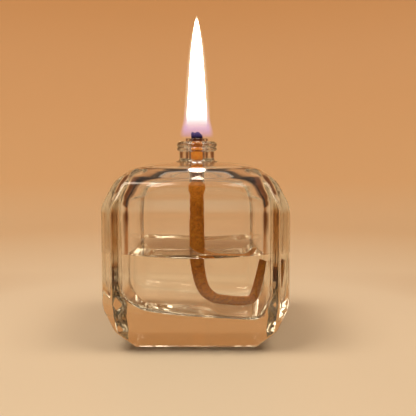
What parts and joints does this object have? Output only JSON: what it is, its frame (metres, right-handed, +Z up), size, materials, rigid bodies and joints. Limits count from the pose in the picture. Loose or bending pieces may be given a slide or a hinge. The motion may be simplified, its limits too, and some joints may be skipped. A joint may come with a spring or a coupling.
{
  "type": "oil lamp",
  "caption": "Square clear glass bottle lamp with bevelled edges and a short beaded neck; a drop-in glass collar holds a cotton wick that draws oil up to an open flame.",
  "frame": {"origin": "middle of the flat base, on the table", "axes": "+Z up along the neck, -Y towards the viewer, +X to the side where the end of the wick rises"},
  "size_m": [0.0764, 0.0764, 0.1423],
  "materials": {
    "bottle_glass": "clear moulded glass, fire-polished edges",
    "holder_glass": "clear drawn glass tube",
    "lamp_oil": "clear liquid lamp oil",
    "wick_cotton": "round braided cotton, soaked, charred at the tip",
    "flame": null
  },
  "bodies": {
    "bottle": {"bottle": "bottle_glass", "lamp_oil": "lamp_oil"},
    "holder": {"wick_holder": "holder_glass", "wick_tail": "wick_cotton", "flame": "flame"},
    "wick": {"wick": "wick_cotton"}
  },
  "joints": [
    {"name": "holder_lift", "type": "slide", "parent": "bottle", "child": "holder", "axis": [0, 0, 1], "range_m": [0, 0.02], "deforming": ["lamp_oil"]},
    {"name": "wick_height", "type": "slide", "parent": "holder", "child": "wick", "axis": [0, 0, 1], "range_m": [-0.003, 0], "deforming": ["flame", "wick_tail"]}
  ]
}
